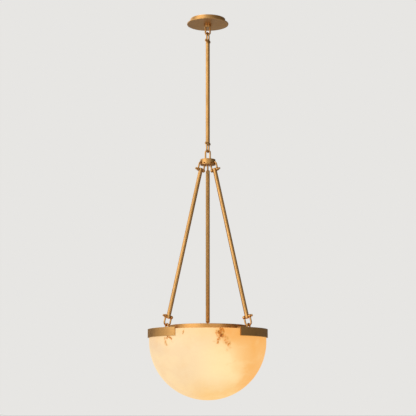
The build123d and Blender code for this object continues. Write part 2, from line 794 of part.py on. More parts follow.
for number, angle in enumerate(socket_angles, start=1):
    lamp = lamp_plane(angle)
    with BuildPart() as lamp_socket:
        with BuildSketch(lamp) as socket_section:
            with BuildLine():
                Polyline(
                    (0, socket_bore_end),
                    (socket_bore / 2, socket_bore_end),
                    (socket_bore / 2, socket_mouth),
                    (socket_diameter / 2, socket_mouth),
                    (socket_diameter / 2, plate_underside),
                    (socket_stub_diameter / 2, plate_underside),
                    (socket_stub_diameter / 2, plate_underside + socket_stub_length),
                    (0, plate_underside + socket_stub_length),
                    close=True,
                )
            make_face()
            mouth_corner = socket_section.vertices().sort_by_distance((socket_diameter / 2, socket_mouth))[0]
            fillet(mouth_corner, radius=socket_rounding)
        revolve(axis=Axis(lamp.origin, (0, 0, 1)))
    lamp_socket.part.label = f"lamp_socket_{number}"
    export_step(lamp_socket.part, f"parts/lamp_socket_{number}.step")

    with BuildPart() as bulb_glass:
        with BuildSketch(lamp):
            with BuildLine():
                Line((inner_neck_radius, bulb_base_bottom), (bulb_neck_radius, bulb_base_bottom))
                Line((bulb_neck_radius, bulb_base_bottom), (bulb_neck_radius, shoulder))
                ThreePointArc(
                    (bulb_neck_radius, shoulder),
                    (bulb_radius, bulb_centre),
                    (0, bulb_centre - bulb_radius),
                )
                Line((0, bulb_centre - bulb_radius), (0, bulb_centre - inner_bulb_radius))
                ThreePointArc(
                    (0, bulb_centre - inner_bulb_radius),
                    (inner_bulb_radius, bulb_centre),
                    (inner_neck_radius, inner_shoulder),
                )
                Line((inner_neck_radius, inner_shoulder), (inner_neck_radius, bulb_base_bottom))
            make_face()
        revolve(axis=Axis(lamp.origin, (0, 0, 1)))
    bulb_glass.part.label = f"bulb_glass_{number}"
    export_step(bulb_glass.part, f"parts/bulb_glass_{number}.step")

with BuildPart() as bulb_bases:
    for angle in socket_angles:
        lamp = lamp_plane(angle)
        with BuildSketch(Plane(origin=(lamp.origin.X, lamp.origin.Y, bulb_base_bottom))):
            Circle(bulb_base_diameter / 2)
        extrude(amount=bulb_base_length - bulb_contact_length)
        with BuildSketch(Plane(origin=(lamp.origin.X, lamp.origin.Y, bulb_base_bottom))):
            Circle(bulb_contact_diameter / 2)
        extrude(amount=bulb_base_length)
bulb_bases.part.label = "bulb_bases"
export_step(bulb_bases.part, "parts/bulb_bases.step")
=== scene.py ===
# %% [markdown]
# # A stone bowl pendant, dressed for its picture
#
# The lamp is a flat brass canopy, a jointed stem, a round hub, three rods and a deep alabaster bowl that
# brass claws hold by its rim. Its solids are already drawn in CAD, and the first cell loads them as a
# fixed frame. What is left for Blender is what a drawing can't say: how aged brass shines, how light
# comes through stone, and where the brown veins run. Everything is in metres, and +Z is up.

import bpy
import bmesh
import json
import math
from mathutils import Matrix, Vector


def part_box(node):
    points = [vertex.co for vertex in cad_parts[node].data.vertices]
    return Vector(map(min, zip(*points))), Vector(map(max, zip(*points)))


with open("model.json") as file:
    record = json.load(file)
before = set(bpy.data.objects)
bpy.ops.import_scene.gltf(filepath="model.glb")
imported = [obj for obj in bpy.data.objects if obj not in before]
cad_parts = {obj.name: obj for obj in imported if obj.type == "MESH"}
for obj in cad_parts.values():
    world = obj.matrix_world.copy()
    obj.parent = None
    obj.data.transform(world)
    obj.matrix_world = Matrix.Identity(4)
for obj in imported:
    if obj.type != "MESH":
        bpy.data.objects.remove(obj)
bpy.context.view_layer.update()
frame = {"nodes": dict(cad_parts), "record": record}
nodes = frame["nodes"]

# %% [markdown]
# ## The camera
#
# The picture was taken from far away and from about the height of the bowl's lowest point: we see the
# underside of the canopy, but look straight at the bowl. The lens is long, about twice a normal one.
# A camera that is tilted up a little frames the lamp from canopy to bowl. Shifting the lens would do
# the same, but then every other view of the lamp would slide out of its frame.

# %% Camera
PICTURE = 416
FOCAL_PIXELS = 1216
CAMERA_DISTANCE = 4.652
CAMERA_DROP = 1.4912
CAMERA_SIDESTEP = 0.001
HORIZON_BELOW_MIDDLE = 192
SENSOR_WIDTH = 36

camera_data = bpy.data.cameras.new("picture_camera")
camera_data.sensor_width = SENSOR_WIDTH
camera_data.lens = SENSOR_WIDTH * FOCAL_PIXELS / PICTURE
camera = bpy.data.objects.new("picture_camera", camera_data)
bpy.context.scene.collection.objects.link(camera)
pitch = math.atan(HORIZON_BELOW_MIDDLE / FOCAL_PIXELS)
camera.location = (CAMERA_SIDESTEP, -CAMERA_DISTANCE, -CAMERA_DROP)
camera.rotation_euler = (math.pi / 2 + pitch, 0, 0)
bpy.context.scene.camera = camera
print(f"lens {camera_data.lens:.1f} mm, tilted up {math.degrees(pitch):.2f} degrees")

# %% [markdown]
# ## Light and background
#
# A metal shows what stands around it, so the surroundings matter as much as the lamps. The world is pale
# where the camera looks at it. For reflections it is pale towards the left front and overhead, and dim
# elsewhere, as a dark room is with a bright window and a pale ceiling. Its light on the object itself is
# even. The Light Path node tells these three uses apart.

# %% World
scene = bpy.context.scene
scene.view_settings.view_transform = "Standard"
world = bpy.data.worlds.new("pale_studio")
scene.world = world
world.use_nodes = True
sky = world.node_tree
sky.nodes.clear()


def sky_node(kind, **settings):
    """A node in the world's tree, with its settings given by name."""
    node = sky.nodes.new(kind)
    for name, value in settings.items():
        setattr(node, name, value)
    return node


def sky_fade(value, low, high, top=1.0):
    """Rises smoothly from 0 to the top while the value goes from low to high."""
    fade = sky_node("ShaderNodeMapRange", interpolation_type="SMOOTHSTEP")
    fade.inputs["From Min"].default_value = low
    fade.inputs["From Max"].default_value = high
    fade.inputs["To Max"].default_value = top
    sky.links.new(value, fade.inputs["Value"])
    return fade.outputs[0]


def sky_larger(first, second):
    """The larger of two values."""
    node = sky_node("ShaderNodeMath", operation="MAXIMUM")
    sky.links.new(first, node.inputs[0])
    sky.links.new(second, node.inputs[1])
    return node.outputs[0]


def sky_mix(factor, first, second):
    """Goes from the first colour to the second. Each is a socket or four numbers."""
    node = sky_node("ShaderNodeMix", data_type="RGBA")
    sky.links.new(factor, node.inputs["Factor"])
    for slot, colour in ((6, first), (7, second)):
        if isinstance(colour, bpy.types.NodeSocket):
            sky.links.new(colour, node.inputs[slot])
        else:
            node.inputs[slot].default_value = colour
    return node.outputs[2]


print("helpers for the world ready")

# %% The world's light
BACKDROP = (0.80, 0.79, 0.77, 1)
REFLECTED_PALE = (0.94, 0.91, 0.86, 1)
REFLECTED_DIM = (0.085, 0.08, 0.075, 1)
AMBIENT = (0.50, 0.50, 0.51, 1)
BRIGHT_SIDE = (-0.80, -0.60, 0.1)
SIDE_FADE = (-0.10, 1.0)
OVERHEAD_FADE = (0.25, 0.95)
OVERHEAD_SHARE = 0.55

rays = sky_node("ShaderNodeLightPath").outputs
direction = sky_node("ShaderNodeTexCoord").outputs["Generated"]
towards_window = sky_node("ShaderNodeVectorMath", operation="DOT_PRODUCT")
towards_window.inputs[1].default_value = BRIGHT_SIDE
sky.links.new(direction, towards_window.inputs[0])
upward = sky_node("ShaderNodeSeparateXYZ")
sky.links.new(direction, upward.inputs[0])
window = sky_fade(towards_window.outputs["Value"], *SIDE_FADE)
ceiling = sky_fade(upward.outputs["Z"], *OVERHEAD_FADE, OVERHEAD_SHARE)
reflected = sky_mix(sky_larger(window, ceiling), REFLECTED_DIM, REFLECTED_PALE)
mirror_ray = sky_larger(rays["Is Glossy Ray"], rays["Is Transmission Ray"])
light = sky_mix(mirror_ray, AMBIENT, reflected)
background = sky_node("ShaderNodeBackground")
sky.links.new(sky_mix(rays["Is Camera Ray"], light, BACKDROP), background.inputs["Color"])
sky_out = sky_node("ShaderNodeOutputWorld")
sky.links.new(background.outputs[0], sky_out.inputs[0])
print("world nodes:", len(sky.nodes))

# %% [markdown]
# A very large soft lamp from the left front gives each tube one broad bright side. A small lamp of the
# same power would be a hard white line in every tube. A weak lamp from the right front opens the shadows,
# and one from behind draws an edge along the metal.

# %% Lamps
LAMPS_LOOK_AT = Vector((0, 0, -0.75))
LAMP_SPREAD = math.radians(110)


def soft_lamp(name, place, size, power, colour=(1, 1, 1)):
    """A square area lamp that looks at the middle of the pendant. The camera doesn't see it."""
    data = bpy.data.lights.new(name, "AREA")
    data.shape = "SQUARE"
    data.size = size
    data.spread = LAMP_SPREAD
    data.energy = power
    data.color = colour
    lamp = bpy.data.objects.new(name, data)
    scene.collection.objects.link(lamp)
    lamp.location = place
    lamp.rotation_euler = (LAMPS_LOOK_AT - Vector(place)).to_track_quat("-Z", "Y").to_euler()
    lamp.visible_camera = False


soft_lamp("key_left", (-2.9, -2.4, 0.1), 4.0, 23, (1, 0.98, 0.95))
soft_lamp("fill_front", (1.6, -3.4, -1.0), 2.4, 6)
soft_lamp("rim_back", (-1.6, 2.4, 0.6), 2.4, 10)

# %% [markdown]
# ## Building materials from nodes
#
# Every finish here is a small network of nodes, with no picture behind it. They all start the same way:
# one main shader, the surface position in metres, and noise at the size of the real marks. A few short
# helpers keep the networks readable. A value that is the same all over goes straight on the shader.

# %% Helpers for materials


def new_finish(name, **settings):
    """A material with one main shader. Its settings are given by socket name."""
    material = bpy.data.materials.new(name)
    material.use_nodes = True
    shader = material.node_tree.nodes["Principled BSDF"]
    for socket, value in settings.items():
        shader.inputs[socket.replace("_", " ")].default_value = value
    return material, shader


def join(material, source, target):
    """Runs a wire from one socket to another."""
    material.node_tree.links.new(source, target)


def position(material):
    """The place of each point of the surface, in metres."""
    return material.node_tree.nodes.new("ShaderNodeTexCoord").outputs["Object"]


def vector_maths(material, operation, first, second=None, scale=None):
    """One step of arithmetic on vectors. Each input is a socket or three numbers."""
    node = material.node_tree.nodes.new("ShaderNodeVectorMath")
    node.operation = operation
    for slot, value in ((0, first), (1, second)):
        if value is None:
            continue
        if isinstance(value, bpy.types.NodeSocket):
            join(material, value, node.inputs[slot])
        else:
            node.inputs[slot].default_value = value
    if scale is not None:
        if isinstance(scale, bpy.types.NodeSocket):
            join(material, scale, node.inputs["Scale"])
        else:
            node.inputs["Scale"].default_value = scale
    return node.outputs["Value" if operation in ("DOT_PRODUCT", "LENGTH", "DISTANCE") else "Vector"]


def maths(material, operation, first, second=0.0):
    """One step of arithmetic on numbers. Each input is a socket or a number."""
    node = material.node_tree.nodes.new("ShaderNodeMath")
    node.operation = operation
    for slot, value in ((0, first), (1, second)):
        if isinstance(value, bpy.types.NodeSocket):
            join(material, value, node.inputs[slot])
        else:
            node.inputs[slot].default_value = value
    return node.outputs[0]


def grain(material, place, scale, detail=3, roughness=0.5, distortion=0.0):
    """Smooth noise from 0 to 1, with this many features to the metre."""
    node = material.node_tree.nodes.new("ShaderNodeTexNoise")
    node.inputs["Scale"].default_value = scale
    node.inputs["Detail"].default_value = detail
    node.inputs["Roughness"].default_value = roughness
    node.inputs["Distortion"].default_value = distortion
    join(material, place, node.inputs["Vector"])
    return node.outputs["Fac"]


def spread(material, value, low, high, to_low=0.0, to_high=1.0, smooth=False):
    """Stretches the part of a value between low and high over a new range."""
    node = material.node_tree.nodes.new("ShaderNodeMapRange")
    node.interpolation_type = "SMOOTHSTEP" if smooth else "LINEAR"
    numbers = {"From Min": low, "From Max": high, "To Min": to_low, "To Max": to_high}
    for socket, number in numbers.items():
        node.inputs[socket].default_value = number
    join(material, value, node.inputs["Value"])
    return node.outputs[0]


def blend_colours(material, factor, first, second):
    """Mixes two colours by a factor. Each input is a socket, three numbers or one."""
    node = material.node_tree.nodes.new("ShaderNodeMix")
    node.data_type = "RGBA"
    for slot, value in ((0, factor), (6, first), (7, second)):
        if isinstance(value, bpy.types.NodeSocket):
            join(material, value, node.inputs[slot])
        else:
            node.inputs[slot].default_value = value if slot == 0 else (*value, 1)
    return node.outputs[2]


def raise_grain(material, shader, height, strength, depth):
    """Turns a height from 0 to 1 into relief of this depth in metres."""
    node = material.node_tree.nodes.new("ShaderNodeBump")
    node.inputs["Strength"].default_value = strength
    node.inputs["Distance"].default_value = depth
    join(material, height, node.inputs["Height"])
    join(material, node.outputs[0], shader.inputs["Normal"])


def worn_edges(material, width):
    """1 on edges and corners within this width, fading to 0 on open faces."""
    bevel = material.node_tree.nodes.new("ShaderNodeBevel")
    bevel.samples = 4
    bevel.inputs["Radius"].default_value = width
    geometry = material.node_tree.nodes.new("ShaderNodeNewGeometry")
    agreement = vector_maths(material, "DOT_PRODUCT", bevel.outputs[0], geometry.outputs["Normal"])
    return spread(material, agreement, 0.98, 0.80, smooth=True)


print("helpers ready")

# %% [markdown]
# ## Aged brass
#
# All the visible metal is one brass, but it was worked in three ways, and each way leaves its own marks.
# Canopy, hub, pan and claws were turned on a lathe, so their fine lines run round the lamp's axis.
# The tubes were brushed along their length. Loops, shackles and pins were bent or cast and then tumbled,
# which leaves an even, slightly cloudy skin. On all of them the tint wanders from honey to brown, and
# edges that hands and polishing cloths reach are rubbed bright.

# %% Brass
BRASS_HONEY = (0.70, 0.39, 0.135)
BRASS_BROWN = (0.42, 0.215, 0.070)
BRASS_RUBBED = (0.85, 0.56, 0.26)
TINT_SHARE = 0.30
STAIN_SHARE = 0.22
LINE_SHARE = 0.16
WORN_WIDTH = 0.0011
BRUSH_STRETCH = 0.985
LATHE_DRIFT = 0.002


def lathe_lines(material, place):
    """A place for noise that is stretched round the lamp's axis."""
    flat = vector_maths(material, "MULTIPLY", place, (1, 1, 0))
    radius = vector_maths(material, "LENGTH", flat)
    apart = material.node_tree.nodes.new("ShaderNodeSeparateXYZ")
    join(material, place, apart.inputs[0])
    together = material.node_tree.nodes.new("ShaderNodeCombineXYZ")
    join(material, radius, together.inputs["X"])
    join(material, apart.outputs["Z"], together.inputs["Y"])
    drift = grain(material, place, 4, 1)
    join(material, maths(material, "MULTIPLY", drift, LATHE_DRIFT), together.inputs["Z"])
    return together.outputs[0]


def brushed_lines(material, place, axis):
    """A place for noise that is stretched along this axis."""
    axis = Vector(axis).normalized()
    along = vector_maths(material, "DOT_PRODUCT", place, axis)
    back = maths(material, "MULTIPLY", along, -BRUSH_STRETCH)
    return vector_maths(material, "ADD", place, vector_maths(material, "SCALE", tuple(axis), scale=back))


def brass(name, rough, marks=None, line_scale=900, line_depth=0.00001):
    """Aged brass. The function marks draws its fine lines out one way. Without it they lie evenly."""
    material, shader = new_finish(name, Metallic=1.0)
    place = position(material)
    tint = spread(material, grain(material, place, 11, 5, 0.6, 0.6), 0.36, 0.68, smooth=True)
    stain = spread(material, grain(material, place, 42, 6, 0.7), 0.50, 0.74, smooth=True)
    lines = grain(material, marks(material, place) if marks else place, line_scale, 2, 0.6)
    uneven_wear = spread(material, stain, 0, 1, 0.85, 0.25)
    wear = maths(material, "MULTIPLY", worn_edges(material, WORN_WIDTH), uneven_wear)

    tint_share = maths(material, "MULTIPLY", tint, TINT_SHARE)
    stain_share = maths(material, "MULTIPLY", stain, STAIN_SHARE)
    line_share = spread(material, lines, 0.35, 0.70, 0.0, LINE_SHARE)
    colour = blend_colours(material, tint_share, BRASS_HONEY, BRASS_BROWN)
    colour = blend_colours(material, stain_share, colour, BRASS_BROWN)
    colour = blend_colours(material, line_share, colour, BRASS_BROWN)
    colour = blend_colours(material, wear, colour, BRASS_RUBBED)
    join(material, colour, shader.inputs["Base Color"])

    cloud = spread(material, grain(material, place, 26, 4, 0.6), 0.3, 0.7, rough - 0.04, rough + 0.06)
    fine = spread(material, lines, 0.3, 0.7, -0.04, 0.05)
    roughness = maths(material, "ADD", cloud, fine)
    polish = maths(material, "MULTIPLY", wear, 0.08)
    join(material, maths(material, "SUBTRACT", roughness, polish), shader.inputs["Roughness"])
    raise_grain(material, shader, lines, 0.25, line_depth)
    return material


turned_brass = brass("turned_brass", 0.42, lathe_lines, line_depth=0.00004)
tumbled_brass = brass("tumbled_brass", 0.29, line_scale=420, line_depth=0.00004)
stem_brass = brass("stem_brass", 0.41, lambda m, p: brushed_lines(m, p, (0, 0, 1)))
print("brass finishes:", [m.name for m in (turned_brass, tumbled_brass, stem_brass)])

# %% [markdown]
# The rods lean outward, rod 1 to the left, 2 to the right and 3 to the back, so the brushing on each
# follows its own tilt. Reading the tilt from the rod's own box keeps it true if the drawing changes. The
# box gives how far down the rod runs and, less the tube's own width, how far out.

# %% Brass along each rod
low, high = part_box("stem_tube")
tube_width = high.x - low.x
ROD_TURNS = {1: 210, 2: 330, 3: 90}
rod_brass = {}
for number, turn in ROD_TURNS.items():
    low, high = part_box(f"rod_tube_{number}")
    outward = Vector((math.cos(math.radians(turn)), math.sin(math.radians(turn)), 0))
    reach = (high.y - low.y - tube_width) / abs(outward.y)
    axis = outward * reach - Vector((0, 0, high.z - low.z))
    rod_brass[number] = brass(f"rod_{number}_brass", 0.41, lambda m, p, a=axis: brushed_lines(m, p, a))
    print("rod", number, "tilt", round(math.degrees(math.atan2(reach, high.z - low.z)), 1))

# %% [markdown]
# ## The plain hardware
#
# Inside the canopy and the bowl sit ordinary parts that a fitter handles: zinc-plated steel with its
# faint crystal bloom, a green earth screw, black rubber, nylon, white stove enamel, glazed porcelain and
# the bulbs. Each gets its own colour wander and relief, so that it also holds up close to.

# %% Hardware finishes
BARE_STEEL = (0.80, 0.80, 0.80)
PLATING_WORN_WIDTH = 0.0006


def plated(name, colour, dark, rough, bloom_scale=160):
    """Bright metal with a faint crystal bloom from its plating bath."""
    material, shader = new_finish(name, Metallic=1.0)
    place = position(material)
    crystals = material.node_tree.nodes.new("ShaderNodeTexVoronoi")
    crystals.inputs["Scale"].default_value = bloom_scale
    join(material, place, crystals.inputs["Vector"])
    bloom = spread(material, crystals.outputs["Distance"], 0.1, 0.7)
    haze = spread(material, grain(material, place, 60, 4), 0.35, 0.7)
    bloom_share = maths(material, "MULTIPLY", bloom, 0.35)
    haze_share = maths(material, "MULTIPLY", haze, 0.45)
    shade = maths(material, "ADD", bloom_share, haze_share)
    colour = blend_colours(material, shade, colour, dark)
    colour = blend_colours(material, worn_edges(material, PLATING_WORN_WIDTH), colour, BARE_STEEL)
    join(material, colour, shader.inputs["Base Color"])
    join(material, spread(material, shade, 0, 0.8, rough, rough + 0.16), shader.inputs["Roughness"])
    raise_grain(material, shader, grain(material, place, 900, 2), 0.2, 0.00005)
    return material


def coated(name, colour, dark, rough, relief=0.00006, scale=300, **settings):
    """Paint, plastic, rubber or glaze: a skin with a slight wander of tint and a fine surface."""
    material, shader = new_finish(name, **settings)
    place = position(material)
    wander = spread(material, grain(material, place, 22, 5, 0.6), 0.3, 0.7, smooth=True)
    colour = blend_colours(material, wander, colour, dark)
    join(material, colour, shader.inputs["Base Color"])
    haze = spread(material, grain(material, place, 55, 4), 0.3, 0.7, rough, rough + 0.12)
    join(material, haze, shader.inputs["Roughness"])
    raise_grain(material, shader, grain(material, place, scale, 3, 0.6), 0.5, relief)
    return material


zinc = plated("zinc_plated_steel", (0.60, 0.61, 0.63), (0.42, 0.43, 0.45), 0.26)
bulb_shell = plated("bulb_shell_metal", (0.74, 0.73, 0.70), (0.55, 0.54, 0.52), 0.22, 220)
earth_green = coated("earth_screw_green", (0.06, 0.33, 0.12), (0.03, 0.22, 0.08), 0.30)
rubber = coated("liner_rubber", (0.045, 0.043, 0.042), (0.025, 0.024, 0.023), 0.62, 0.00010, 500)
enamel = coated(
    "white_stove_enamel", (0.84, 0.83, 0.80), (0.78, 0.77, 0.73), 0.22, 0.00008, 140, Coat_Weight=0.4
)
black_plastic = coated("black_plastic", (0.05, 0.05, 0.05), (0.03, 0.03, 0.03), 0.42, 0.00008, 600)
nylon = coated("natural_nylon", (0.78, 0.76, 0.70), (0.70, 0.67, 0.60), 0.38, 0.00005, 400)
porcelain = coated(
    "socket_porcelain", (0.86, 0.85, 0.81), (0.80, 0.78, 0.73), 0.12, 0.00010, 90, Coat_Weight=0.6
)
print("hardware finishes ready")

# %% [markdown]
# ## Frosted bulbs
#
# A frosted bulb seen alight is a plain warm ball that fades a little towards its neck. It gives off its
# own light here, and a trace of frosting breaks up the edge.

# %% Bulb glass
BULB_LIGHT = (1.0, 0.80, 0.52)
BULB_NECK = (0.62, 0.40, 0.20)
FROST_SHARE = 0.12
bulb_glow, bulb_shader = new_finish(
    "frosted_bulb_glass", Roughness=0.45, Transmission_Weight=0.15, Emission_Strength=1.0
)
place = position(bulb_glow)
frost = grain(bulb_glow, place, 800, 3)
low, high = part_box("bulb_glass_1")
apart = bulb_glow.node_tree.nodes.new("ShaderNodeSeparateXYZ")
join(bulb_glow, place, apart.inputs[0])
towards_neck = spread(bulb_glow, apart.outputs["Z"], (low.z + high.z) / 2, high.z, smooth=True)
glow = blend_colours(bulb_glow, towards_neck, BULB_LIGHT, BULB_NECK)
glow = blend_colours(bulb_glow, spread(bulb_glow, frost, 0.3, 0.7, 0.0, FROST_SHARE), glow, (1, 1, 1))
join(bulb_glow, glow, bulb_shader.inputs["Emission Color"])
frosting = blend_colours(bulb_glow, frost, (0.80, 0.78, 0.74), (0.90, 0.88, 0.84))
join(bulb_glow, frosting, bulb_shader.inputs["Base Color"])
raise_grain(bulb_glow, bulb_shader, frost, 0.4, 0.0001)
print("bulb glow from", round(low.z, 4), "to", round(high.z, 4))

# %% [markdown]
# ## Alabaster with light behind it
#
# Alabaster lets light in and scatters it, so a lit bowl glows all over, brightest where a bulb stands
# close behind the wall. Tracing that light through 12 mm of stone would be slow and noisy. Instead the
# stone gives off the light that would come through it: strong near each bulb, weaker far from all of
# them, creamy where the stone is clear and honey-coloured where it is dense. Iron and clay in old
# cracks make thin brown veins, and those block the light. The veins are listed as short strokes over
# the rim and down the wall, and noise bends them, as a crack wanders.

# %% Bowl measures
low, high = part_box("alabaster_bowl")
bowl_radius = (high.x - low.x) / 2
bowl_rim = high.z
bowl_middle = low.z + bowl_radius
bulb_places = []
for number in (1, 2, 3):
    low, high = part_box(f"bulb_glass_{number}")
    ball_radius = (high.x - low.x) / 2
    bulb_places.append(Vector(((low.x + high.x) / 2, (low.y + high.y) / 2, low.z + ball_radius)))
print(f"bowl radius {bowl_radius:.4f}, collar {bowl_rim - bowl_middle:.4f}, bulbs", bulb_places)


def on_bowl(turn, depth):
    """A point on the bowl's outside: degrees right of its front, and millimetres down from its rim."""
    depth = depth / 1000
    collar = bowl_rim - bowl_middle
    if depth < collar:
        radius, height = bowl_radius, bowl_rim - depth
    else:
        slope = (depth - collar) / bowl_radius
        radius, height = bowl_radius * math.cos(slope), bowl_middle - bowl_radius * math.sin(slope)
    turn = math.radians(turn)
    return Vector((radius * math.sin(turn), -radius * math.cos(turn), height))


# %% [markdown]
# One stroke of a vein is the region near a straight line between two points. A node group measures how
# close the surface is to that line, and every stroke is one copy of the group. The largest answer wins.

# %% A stroke as a node group
stroke_tree = bpy.data.node_groups.new("vein_stroke", "ShaderNodeTree")
for label in ("Place", "Start", "End"):
    stroke_tree.interface.new_socket(label, in_out="INPUT", socket_type="NodeSocketVector")
for label in ("Width", "Strength"):
    stroke_tree.interface.new_socket(label, in_out="INPUT", socket_type="NodeSocketFloat")
stroke_tree.interface.new_socket("Closeness", in_out="OUTPUT", socket_type="NodeSocketFloat")


def stroke_maths(kind, operation, *inputs, clamp=False):
    """A maths node inside the stroke group."""
    node = stroke_tree.nodes.new(kind)
    node.operation = operation
    if clamp:
        node.use_clamp = True
    for slot, source in enumerate(inputs):
        if isinstance(source, bpy.types.NodeSocket):
            stroke_tree.links.new(source, node.inputs[slot])
        else:
            node.inputs[slot].default_value = source
    return node


given = stroke_tree.nodes.new("NodeGroupInput").outputs
result = stroke_tree.nodes.new("NodeGroupOutput").inputs
on_vectors, on_numbers = "ShaderNodeVectorMath", "ShaderNodeMath"
line = stroke_maths(on_vectors, "SUBTRACT", given["End"], given["Start"]).outputs[0]
offset = stroke_maths(on_vectors, "SUBTRACT", given["Place"], given["Start"]).outputs[0]
across = stroke_maths(on_vectors, "DOT_PRODUCT", offset, line).outputs["Value"]
squared = stroke_maths(on_vectors, "DOT_PRODUCT", line, line).outputs["Value"]
share = stroke_maths(on_numbers, "DIVIDE", across, squared, clamp=True).outputs[0]
nearest = stroke_maths(on_vectors, "SCALE", line)
stroke_tree.links.new(share, nearest.inputs["Scale"])
away = stroke_maths(on_vectors, "DISTANCE", offset, nearest.outputs[0]).outputs["Value"]
widths = stroke_maths(on_numbers, "DIVIDE", away, given["Width"]).outputs[0]
widths_squared = stroke_maths(on_numbers, "MULTIPLY", widths, widths).outputs[0]
below_zero = stroke_maths(on_numbers, "MULTIPLY", widths_squared, -1.0).outputs[0]
bell = stroke_maths(on_numbers, "EXPONENT", below_zero).outputs[0]
weighted = stroke_maths(on_numbers, "MULTIPLY", bell, given["Strength"]).outputs[0]
stroke_tree.links.new(weighted, result[0])
print("stroke group:", len(stroke_tree.nodes), "nodes")

# %% Where the veins run
# Each vein is the reach of its stain in millimetres, its strength, and its points: degrees right of the
# front and millimetres below the rim. Under 0.5 a vein is only a faint stain, and from about 0.8 it has
# dark crumbs. The first sixteen are on the front, the rest on the sides and the back.
VEINS = [
    (5.0, 1.20, [(13.0, -3), (12.6, 5), (12.4, 13)]),
    (7.0, 1.50, [(11.4, 17), (12.0, 24), (13.4, 27)]),
    (3.5, 0.85, [(13.8, -2), (14.0, 5), (15.3, 14), (14.6, 23)]),
    (3.0, 0.75, [(8.6, 10), (7.6, 20), (8.8, 30)]),
    (5.5, 0.85, [(11.8, 29), (10.3, 41), (9.4, 53)]),
    (5.0, 0.36, [(9.4, 50), (5.6, 50)]),
    (7.5, 0.80, [(14.2, 28), (17.6, 39), (16.6, 48), (20.0, 57)]),
    (6.5, 0.50, [(20.0, 57), (21.1, 72), (19.1, 79)]),
    (3.4, 1.05, [(-42.4, 36), (-41.2, 31), (-39.4, 30.5), (-36.8, 38)]),
    (4.5, 0.70, [(-45.3, 36), (-44.2, 54), (-42.7, 59)]),
    (3.0, 0.35, [(-36.0, 46), (-34.6, 51)]),
    (4.0, 0.24, [(-45.9, 83), (-49.5, 80)]),
    (2.6, 0.95, [(-23.6, 12), (-24.0, 20)]),
    (3.0, 0.32, [(-22.8, 2), (-23.4, 12)]),
    (5.0, 0.30, [(19.6, 136), (23.4, 130)]),
    (4.0, 0.30, [(27.0, 125), (29.6, 120)]),
    (5.5, 1.00, [(131, -3), (134, 18), (131, 40)]),
    (5.0, 0.50, [(131, 40), (136, 66), (133, 95)]),
    (3.5, 0.70, [(134, 18), (140, 34), (143, 58)]),
    (4.0, 0.35, [(131, 40), (125, 55), (123, 74)]),
    (5.0, 1.00, [(-118, -3), (-121, 22), (-117, 47)]),
    (5.0, 0.45, [(-117, 47), (-122, 76), (-119, 118)]),
    (3.5, 0.60, [(-121, 22), (-128, 38), (-131, 63)]),
    (5.0, 0.35, [(178, 60), (171, 84), (174, 120)]),
    (5.0, 0.35, [(74, 96), (81, 112), (79, 142)]),
]
print("veins:", len(VEINS), "strokes:", sum(len(points) - 1 for _, _, points in VEINS))

# %% Alabaster
alabaster, stone = new_finish(
    "lit_alabaster", Roughness=0.42, Emission_Strength=1.0, Specular_IOR_Level=0.3
)
place = position(alabaster)


def shaken(material, place, scale, reach):
    """The same place, pushed about by noise up to this reach in metres."""
    node = material.node_tree.nodes.new("ShaderNodeTexNoise")
    node.inputs["Scale"].default_value = scale
    node.inputs["Detail"].default_value = 3
    join(material, place, node.inputs["Vector"])
    centred = vector_maths(material, "SUBTRACT", node.outputs["Color"], (0.5, 0.5, 0.5))
    return vector_maths(material, "ADD", place, vector_maths(material, "SCALE", centred, scale=2 * reach))


# %% The strokes in the stone
STROKE_WIDTH = 1.5
crooked = shaken(alabaster, shaken(alabaster, place, 60, 0.004), 190, 0.003)
near_vein = None
for reach, strength, points in VEINS:
    for start, end in zip(points, points[1:]):
        stroke = alabaster.node_tree.nodes.new("ShaderNodeGroup")
        stroke.node_tree = stroke_tree
        join(alabaster, crooked, stroke.inputs["Place"])
        stroke.inputs["Start"].default_value = on_bowl(*start)
        stroke.inputs["End"].default_value = on_bowl(*end)
        stroke.inputs["Width"].default_value = STROKE_WIDTH * reach / 1000
        stroke.inputs["Strength"].default_value = strength
        closeness = stroke.outputs[0]
        near_vein = closeness if near_vein is None else maths(alabaster, "MAXIMUM", near_vein, closeness)
print("stone nodes so far:", len(alabaster.node_tree.nodes))

# %% [markdown]
# A vein isn't a clean line. Near it the stone is stained in soft ragged patches, and only in the heart
# of a strong stroke does the stain turn to dark crumbs. Coarse noise decides how far the stain spreads,
# and fine noise decides where the crumbs are. Both are multiplied with the closeness to the stroke, so
# they fade away together where it ends. The stain itself wanders from orange to a smoky olive.

# %% Stain and crumbs


def product(first, second):
    """Two values of the stone's network multiplied."""
    return maths(alabaster, "MULTIPLY", first, second)


ragged = spread(alabaster, grain(alabaster, place, 115, 5, 0.65), 0.36, 0.64, 0.45, 1.20)
crumbly = spread(alabaster, grain(alabaster, place, 290, 6, 0.75), 0.40, 0.62, 0.15, 1.30)
stain = spread(alabaster, product(near_vein, ragged), 0.08, 1.00, smooth=True)
core = spread(alabaster, product(near_vein, crumbly), 0.55, 1.05, smooth=True)
smoky = spread(alabaster, grain(alabaster, place, 70, 3), 0.42, 0.62, smooth=True)
print("stone nodes with stain and crumbs:", len(alabaster.node_tree.nodes))

# %% [markdown]
# The glow has two parts. Distance to each bulb makes the soft bright patches, and slow clouds of denser
# stone tint it. The right side of this bowl is denser and glows like honey, the left side is clear and
# creamy. The edge between them slants, so it is found from X and Z together. Amber leads over from cream
# to honey and tints the rim and the foot, and a painted shade dulls the stone just under the left claw.

# %% Bright and dense regions
PATCH_RADIUS_SHARE = 0.94
PATCH_NEAR, PATCH_FAR = 0.010, 0.135
EDGE_SLANT = 0.4
EDGE_OFFSET = 0.052
RIM_FADE = 0.035
FOOT_LOW, FOOT_HIGH = 0.215, 0.120
# Where and how strong the painted shade of the left claw is: a soft dull patch just under the claw.
PAINTED_SHADE_MIDDLE = on_bowl(-66, 42)
PAINTED_SHADE_NEAR, PAINTED_SHADE_FAR, PAINTED_SHADE_SHARE = 0.02, 0.11, 0.60

